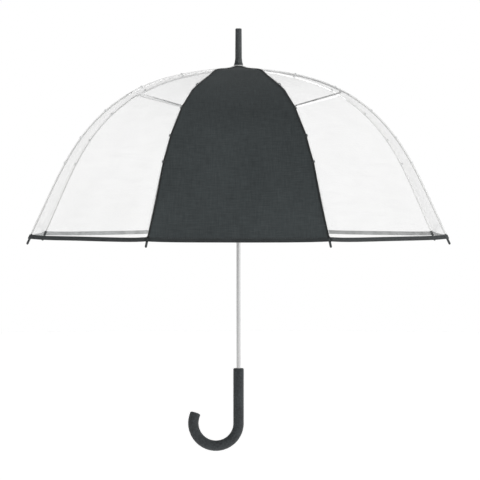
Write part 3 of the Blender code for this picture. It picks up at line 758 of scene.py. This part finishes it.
def seam_look():
    own = settings().canopy
    tint = shade(tuple(own.film_tint), 1.45)
    return look("welded_seam_film", clear_film, tint, own.film_haze * 0.8, own.film_edge * 0.55)


def tape_look():
    return look("hem_binding_tape", bound_tape, tuple(settings().canopy.tape_colour), CORD_PITCH)


def steel_look():
    return look("plated_frame_strip", sheet_steel, tuple(settings().frame.steel_colour))


def plastic_look():
    return look("dark_moulded_plastic", moulded_plastic, tuple(settings().frame.plastic_colour))


def thread_look():
    return look("dark_sewing_thread", sewing_thread, (0.075, 0.084, 0.087))


# --- operators ------------------------------------------------------------------


class PieceOperator(bpy.types.Operator):
    bl_options = {"REGISTER", "UNDO"}


class UMBRELLA_OT_stage(PieceOperator):
    """Floor, soft light and camera"""

    bl_idname = "umbrella.stage"
    bl_label = "Stage"

    def execute(self, context):
        own = settings().stage
        scene = context.scene
        floor_z = CAD_BOX[0][2] - own.floor_drop
        bm = bmesh.new()
        bmesh.ops.create_circle(bm, cap_ends=True, segments=96, radius=9.0)
        bmesh.ops.translate(bm, verts=bm.verts, vec=(0.0, 0.0, floor_z))
        tone = (0.93, 0.93, 0.93)
        paper = Finish("studio_floor", tone, 0.9, Specular_IOR_Level=0.1)
        grain = paper.cloud(paper.place(), 3.0, 2.0)
        paper.set("Emission Color", (*tone, 1.0))
        paper.set("Emission Strength", 0.52)
        shown = paper.between(paper.limited(grain, 0.3, 0.7), (0.925,) * 3, (0.94,) * 3)
        paper.set("Base Color", shown)
        floor = finished("studio_floor", bm, paper.material, False)

        world = bpy.data.worlds.new("studio")
        world.use_nodes = True
        nodes, links = world.node_tree.nodes, world.node_tree.links
        seen, lit = nodes["Background"], nodes.new("ShaderNodeBackground")
        for light in (seen, lit):
            light.inputs["Color"].default_value = (1.0, 1.0, 1.0, 1.0)
            light.inputs["Strength"].default_value = 1.0
        self.soft_sky(nodes, links, lit.inputs["Strength"], own)
        path = nodes.new("ShaderNodeLightPath")
        mix = nodes.new("ShaderNodeMixShader")
        links.new(path.outputs["Is Camera Ray"], mix.inputs["Fac"])
        links.new(lit.outputs[0], mix.inputs[1])
        links.new(seen.outputs[0], mix.inputs[2])
        links.new(mix.outputs[0], nodes["World Output"].inputs["Surface"])
        scene.world = world

        self.lamps(scene, own)
        self.camera(scene, own)
        scene.view_settings.view_transform = "Standard"
        scene.view_settings.look = "None"
        return {"FINISHED"}

    def soft_sky(self, nodes, links, target, own):
        """Even light all round, weaker from the left and from overhead."""

        def sum_of(operation, first, second):
            made = nodes.new("ShaderNodeMath")
            made.operation = operation
            for socket, value in zip(made.inputs, (first, second)):
                if isinstance(value, float):
                    socket.default_value = value
                else:
                    links.new(value, socket)
            return made.outputs[0]

        where = nodes.new("ShaderNodeTexCoord")
        parts = nodes.new("ShaderNodeSeparateXYZ")
        links.new(where.outputs["Generated"], parts.inputs[0])
        sideways = sum_of("MULTIPLY", parts.outputs[0], own.side_fall)
        overhead = sum_of("MULTIPLY", sum_of("MAXIMUM", parts.outputs[2], 0.0), -own.top_fall)
        level = sum_of("ADD", sum_of("ADD", sideways, overhead), own.ambient)
        links.new(sum_of("MAXIMUM", level, 0.05), target)

    def lamps(self, scene, own):
        """Three square lamps, each with its place, its side and its power."""
        middle = Vector((0.0, 0.0, 0.35))
        for name, place, size, power in (
            ("key", (1.9, -2.2, 1.7), 1.5, own.key_power),
            ("fill", (-2.6, -1.4, 0.9), 2.0, own.key_power * 0.30),
            ("top", (0.0, 0.6, 2.9), 2.4, own.key_power * 0.10),
        ):
            lamp = bpy.data.lights.new(name, "AREA")
            lamp.energy = power
            lamp.size = size
            holder = bpy.data.objects.new(name, lamp)
            holder.location = place
            aim = middle - Vector(place)
            holder.rotation_euler = aim.to_track_quat("-Z", "Y").to_euler()
            scene.collection.objects.link(holder)

    def camera(self, scene, own):
        camera = bpy.data.cameras.new("camera")
        camera.lens = own.focal_length
        camera.sensor_width = 36.0
        camera.clip_end = 60.0
        holder = bpy.data.objects.new("camera", camera)
        holder.location = (own.camera_aside, -own.camera_distance, own.camera_height)
        aim = Vector((own.camera_aside, 0.0, own.aim_height)) - holder.location
        holder.rotation_euler = aim.to_track_quat("-Z", "Y").to_euler()
        scene.collection.objects.link(holder)
        scene.camera = holder


class UMBRELLA_OT_canopy(PieceOperator):
    """The eight panels of the canopy: one woven, seven of clear film"""

    bl_idname = "umbrella.canopy"
    bl_label = "Canopy panels"

    def execute(self, context):
        own = settings().canopy
        halves = (("upper", PANEL_START, SPLIT_AT, 40), ("lower", SPLIT_AT, SEAM_LENGTH, 64))
        for panel in range(1, RIBS + 1):
            dark = panel == FRONT_PANEL
            surface = fabric_look() if dark else film_look()
            for half, first, last, rows in halves:

                def station(along):
                    crowded = 1.0 - (1.0 - along) ** 1.8 if half == "upper" else along**1.8
                    return first + (last - first) * crowded

                def place(across, along):
                    return panel_point(panel, station(along), across)

                def flat(across, along):
                    s = station(along)
                    return (panel_half(s) * across, s)

                kind = "fabric" if dark else "film"
                thickness = own.fabric_thickness if dark else own.film_thickness
                name = f"{kind}_panel_{panel}_{half}"
                piece = cloth_piece(name, rows, 44, place, flat, surface, thickness)
                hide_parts(f"panel_{half}_{panel}")
                size = (2.0 * panel_half(last), last - first)
                fold_with(piece, panel, half)
        return {"FINISHED"}


class UMBRELLA_OT_hem(PieceOperator):
    """Binding tape round the hem, with its row of stitches"""

    bl_idname = "umbrella.hem"
    bl_label = "Hem binding"

    def execute(self, context):
        own = settings().canopy
        backing = look("pale_tape_backing", bound_tape, tuple(own.backing_colour), CORD_PITCH)
        middle, depth = SEAM_LENGTH + TAPE_BELOW - own.tape_height / 2, 0.0001
        for panel in range(1, RIBS + 1):
            frames = []
            for across in spread(-1.0, 1.0, 48):
                here = panel_point(panel, middle, across, depth)
                side, out, down = panel_directions(panel, middle, across, depth, 0.004)
                frames.append(basis(-down * own.tape_height / 2, out * own.tape_thickness / 2, side, here))
            band = drawn_along(frames, 20, tape_section, lengthwise=True)
            tape = finished(f"hem_tape_{panel}", band, tape_look())
            tape.data.materials.append(backing)
            away = out_of(panel_turn(panel))
            for face in tape.data.polygons:
                inward = face.normal.dot(away) < -0.2
                face.material_index = 1 if inward and panel != FRONT_PANEL else 0
            fold_with(tape, panel, "lower")
            self.stitches(panel, own)
        self.turned_edges(own)
        return {"FINISHED"}

    def turned_edges(self, own):
        """The woven panel's two side edges, turned over and sewn down, coloured half as dark as the tape as
        painted shade along the fold.
        """
        # painted shade: the fold is real, but its colour, half the tape's, stands in for the shade along the
        # turned edge
        surface = look("turned_edge_fabric", bound_tape, shade(tuple(own.tape_colour), 0.5), CORD_PITCH)
        start, half_thickness = PANEL_START + 0.004, 0.0003
        for half, first, last in (("upper", start, SPLIT_AT), ("lower", SPLIT_AT, SEAM_LENGTH)):
            for name, way in (("left", -1.0), ("right", 1.0)):
                frames = []
                for s in spread(first, last, 60):
                    across = way * (1.0 - min(own.edge_fold / panel_half(s), 0.5))
                    _, out, down = panel_directions(FRONT_PANEL, s, across, EDGE_DEPTH, 0.002)
                    here = panel_point(FRONT_PANEL, s, across, EDGE_DEPTH)
                    frames.append(basis(down.cross(out) * own.edge_fold, out * half_thickness, down, here))
                band = drawn_along(frames, 16, tape_section, lengthwise=True)
                fold = finished(f"turned_edge_{name}_{half}", band, surface)
                fold_with(fold, FRONT_PANEL, half)

    def stitches(self, panel, own):
        """One row near the tape's upper edge, standing a little proud of it."""
        half_length, proud = own.stitch_length * 0.36, 0.00045
        half_width, half_height = 0.00022, 0.00020
        s = SEAM_LENGTH + TAPE_BELOW - own.tape_height * 0.86
        count = int(2.0 * panel_half(s) / own.stitch_length)
        lying = Matrix.Rotation(math.pi / 2, 4, "Y")
        bm = bmesh.new()
        for k in range(count):
            across = (k + 0.5) / count * 2.0 - 1.0
            if abs(across) > 0.985:
                continue
            here = panel_point(panel, s, across, -proud)
            side, out, down = panel_directions(panel, s, across, 0.0, 0.004)
            stitch = basis(side * half_length, -down * half_width, out * half_height, here)
            bmesh.ops.create_uvsphere(bm, u_segments=6, v_segments=5, radius=1.0, matrix=stitch @ lying)
        bmesh.ops.recalc_face_normals(bm, faces=bm.faces)
        row = finished(f"hem_stitches_{panel}", bm, thread_look())
        fold_with(row, panel, "lower")


class UMBRELLA_OT_seams(PieceOperator):
    """The seam over each rib, where two panels overlap"""

    bl_idname = "umbrella.seams"
    bl_label = "Rib seams"

    def execute(self, context):
        half_width, half_thickness, depth = settings().canopy.seam_width / 2, 0.00030, 0.0006
        stations = spread(0.014, SEAM_LENGTH - 0.003, 72)
        for rib in range(1, RIBS + 1):
            frames = rib_frames(rib, stations, depth, half_width, half_thickness / half_width)
            strip = finished(f"welded_seam_{rib}", drawn_along(frames, 12, tape_section), seam_look())
            follow_rod(strip, rib)
        return {"FINISHED"}


class UMBRELLA_OT_ribs(PieceOperator):
    """Springy outer ribs, the sockets that hold them and the ties that hold the canopy"""

    bl_idname = "umbrella.ribs"
    bl_label = "Outer ribs"

    def execute(self, context):
        own = settings().frame
        rod_finish = look("pale_glass_rod", glass_rod, tuple(own.rod_colour))
        for rib in range(1, RIBS + 1):
            stations = spread(FLEX_AT + 0.0002, ROD_END_AT, 90)
            frames = rib_frames(rib, stations, RIB_DEPTH, own.rod_radius)
            rod = finished(f"outer_rod_{rib}", drawn_along(frames, 16), rod_finish)
            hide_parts(f"rib_outer_{rib}")
            follow_rod(rod, rib)
            self.socket(rib, own)
            self.ties(rib)
        return {"FINISHED"}

    def socket(self, rib, own):
        """Sleeve crimped on the end of the channel, with the rod in its mouth."""
        radius = own.socket_radius
        mouth = ((0.0, 0.86), (0.0012, 1.0), (0.0058, 1.0))
        crimp = ((0.0062, 0.90), (0.0074, 0.90), (0.0078, 1.0))
        tail = ((0.0148, 1.0), (0.0158, 0.84))
        frames = []
        for along, scale in mouth + crimp + tail:
            frames += rib_frames(rib, [FLEX_AT - SOCKET_LAP + along], RIB_DEPTH, radius * scale)
        sleeve = crease_sharp(finished(f"rod_socket_{rib}", drawn_along(frames, 20), steel_look()), 40.0)
        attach(sleeve, f"inner_rib_{rib}")

    def ties(self, rib):
        """Thread whipped round the rib and through the seam."""
        turns, pitch, corners = 4, 0.0008, 18
        half_width, half_height, thread = 0.0023, 0.0029, 0.00036
        pale = look("clear_thread", sewing_thread, (0.88, 0.89, 0.89))
        surface = thread_look() if rib in (1, RIBS) else pale
        for number, (station, _) in enumerate(TIES[:-1], 1):
            if abs(station - FLEX_AT) < TIE_FROM_FLEX:
                station = FLEX_AT - TIE_FROM_FLEX
            bm = bmesh.new()
            side, up, along = rib_directions(rib, station)
            for k in range(turns):
                place = station + pitch * (k - (turns - 1) / 2)
                here = basis(side, up, along, rib_place(rib, place, RIB_DEPTH * 0.62))
                loop = []
                for step in range(corners):
                    a = 2.0 * math.pi * step / corners
                    spot = here @ Vector((math.cos(a) * half_width, math.sin(a) * half_height, 0.0))
                    outward = (here.to_3x3() @ Vector((math.cos(a), math.sin(a), 0.0))).normalized()
                    loop.append(basis(outward * thread, along * thread, outward.cross(along), spot))
                ring = drawn_along(loop + [loop[0]], 6, ring=True)
                bmesh.ops.remove_doubles(ring, verts=ring.verts, dist=1e-6)
                mesh = bpy.data.meshes.new("loop")
                ring.to_mesh(mesh)
                ring.free()
                bm.from_mesh(mesh)
                bpy.data.meshes.remove(mesh)
            bmesh.ops.recalc_face_normals(bm, faces=bm.faces)
            tie = finished(f"rib_tie_{rib}_{number}", bm, surface)
            if station < FLEX_AT:
                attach(tie, f"inner_rib_{rib}")
            else:
                follow_rod(tie, rib)


class UMBRELLA_OT_handle(PieceOperator):
    """Crook handle with a soft grip"""

    bl_idname = "umbrella.handle"
    bl_label = "Crook handle"

    def execute(self, context):
        own = settings().handle
        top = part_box("crook_handle")[1].z
        centre_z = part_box("crook_handle")[0].z + own.crook_radius + own.grip_radius
        radius, edge, bore = own.grip_radius, own.edge_radius, own.bore_radius
        rings = [(top - 0.004, bore), (top - 0.0006, bore), (top - 0.0001, bore + 0.0006)]
        rings.append((top, radius - edge))
        for k in range(1, 7):
            a = math.pi / 2 * k / 6
            rings.append((top - edge + edge * math.cos(a), radius - edge + edge * math.sin(a)))
        rings += [(z, radius) for z in spread(top - edge - 0.006, centre_z + 0.004, 12)]
        frames = [self.level_frame(z, r) for z, r in rings]
        for turn in spread(0.0, own.crook_sweep, 56):
            frames.append(self.crook_frame(own, centre_z, turn, radius, 0.0))
        edge = own.crook_edge
        for k in range(8):
            a = math.pi / 2 * k / 7
            ahead = own.crook_tail + edge * math.sin(a)
            r = radius - edge + edge * math.cos(a)
            frames.append(self.crook_frame(own, centre_z, own.crook_sweep, r, ahead))
        for share in (0.62, 0.30, 0.04):
            r = (radius - edge) * share
            ahead = own.crook_tail + edge + 0.0003 * (1.0 - share)
            frames.append(self.crook_frame(own, centre_z, own.crook_sweep, r, ahead))
        surface = look("soft_matte_grip", foam_grip, tuple(own.grip_colour))
        grip = finished("soft_crook_grip", drawn_along(frames, 56), surface)
        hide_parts("crook_handle")
        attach(grip, "frame")
        return {"FINISHED"}

    def level_frame(self, z, radius):
        """A ring of the straight grip."""
        side, ahead = Vector((0.0, 1.0, 0.0)), Vector((0.0, 0.0, -1.0))
        return basis(Vector((radius, 0.0, 0.0)), side * radius, ahead, Vector((0.0, 0.0, z)))

    def crook_frame(self, own, centre_z, turn, radius, ahead):
        """A ring of the hook, at a turn from the grip and ahead of that place."""
        outward = Vector((math.cos(turn), 0.0, -math.sin(turn)))
        along = Vector((-math.sin(turn), 0.0, -math.cos(turn)))
        middle = Vector((-own.crook_radius, 0.0, centre_z)) + outward * own.crook_radius + along * ahead
        return basis(outward * radius, Vector((0.0, 1.0, 0.0)) * radius, along, middle)


class UMBRELLA_OT_crown(PieceOperator):
    """Patch that closes the canopy round the shaft, under the washer"""

    bl_idname = "umbrella.crown"
    bl_label = "Crown patch"

    def execute(self, context):
        over = ((0.0047, -0.0008), (0.0062, 0.0001), (0.0118, -0.0009), (0.0146, -0.00128))
        under = ((0.0149, -0.0015), (0.0146, -0.0017), (0.0118, -0.0013), (0.0062, -0.0006))
        outline = [(radius, APEX_Z + rise) for radius, rise in over + under]
        patch = finished("crown_patch", turned_piece(outline), tape_look())
        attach(patch, "frame")
        return {"FINISHED"}


class UMBRELLA_OT_strap(PieceOperator):
    """Tie strap folded back on itself, snapped, on the far panel"""

    bl_idname = "umbrella.strap"
    bl_label = "Tie strap"

    def execute(self, context):
        half_width, half_thickness, wave, waves = 0.0100, 0.0007, 0.0002, 120.0
        frames = []
        for s in spread(STRAP_FROM, STRAP_TO, 40):
            here = panel_point(BACK_PANEL, s, 0.0)
            side, out, down = panel_directions(BACK_PANEL, s, 0.0, 0.0, 0.003)
            lift = STRAP_LIFT + wave * math.sin((s - STRAP_FROM) * waves)
            frames.append(basis(side * half_width, out * half_thickness, down, here + out * lift))
        strap = finished("folded_tie_strap", drawn_along(frames, 24, tape_section), fabric_look())
        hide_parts("tie_strap")
        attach(strap, "lower_cover_5")
        return {"FINISHED"}


class UMBRELLA_OT_metalwork(PieceOperator):
    """Finishes of the pieces that keep their frame shape"""

    bl_idname = "umbrella.metalwork"
    bl_label = "Frame finishes"

    def execute(self, context):
        own = settings().frame
        tube = look("plated_shaft", polished_tube, tuple(own.shaft_colour))
        washer = look("pale_washer", moulded_plastic, (0.80, 0.81, 0.80), 0.4)
        steel_starts, steel_ends = ("rib_inner", "stretcher"), ("wire", "catch", "snap")
        for name, node in frame["nodes"].items():
            if name == "shaft_tube":
                self.paint(node, tube)
            elif name == "top_washer":
                self.paint(node, washer)
            elif name in ("ferrule", "crown_hub", "runner") or name.startswith("rib_tip"):
                self.paint(node, plastic_look())
            elif name.startswith(steel_starts) or name.endswith(steel_ends):
                self.paint(node, steel_look())
        return {"FINISHED"}

    def paint(self, node, surface):
        if not node.material_slots:
            node.data.materials.append(surface)
        for place in node.material_slots:
            place.material = surface


class UMBRELLA_PT_pieces(bpy.types.Panel):
    """Buttons for the pieces"""

    bl_idname = "UMBRELLA_PT_pieces"
    bl_label = "Umbrella"
    bl_space_type = "VIEW_3D"
    bl_region_type = "UI"
    bl_category = "Umbrella"

    def draw(self, context):
        for operator in OPERATORS:
            self.layout.operator(operator.bl_idname)
        for group in ("canopy", "frame", "handle", "stage"):
            own = getattr(context.scene.umbrella, group)
            box = self.layout.box()
            for name in own.bl_rna.properties.keys():
                if name not in ("rna_type", "name"):
                    box.prop(own, name)


OPERATORS = (
    UMBRELLA_OT_stage,
    UMBRELLA_OT_canopy,
    UMBRELLA_OT_hem,
    UMBRELLA_OT_seams,
    UMBRELLA_OT_ribs,
    UMBRELLA_OT_handle,
    UMBRELLA_OT_crown,
    UMBRELLA_OT_strap,
    UMBRELLA_OT_metalwork,
)
CLASSES = (
    UmbrellaCanopySettings,
    UmbrellaFrameSettings,
    UmbrellaHandleSettings,
    UmbrellaStageSettings,
    UmbrellaSettings,
    *OPERATORS,
    UMBRELLA_PT_pieces,
)


def register():
    for each in CLASSES:
        bpy.utils.register_class(each)
    bpy.types.Scene.umbrella = PointerProperty(type=UmbrellaSettings)


def unregister():
    del bpy.types.Scene.umbrella
    for each in reversed(CLASSES):
        bpy.utils.unregister_class(each)


def main():
    register()
    for operator in OPERATORS:
        group, name = operator.bl_idname.split(".")
        getattr(getattr(bpy.ops, group), name)()


if __name__ == "__main__":
    main()
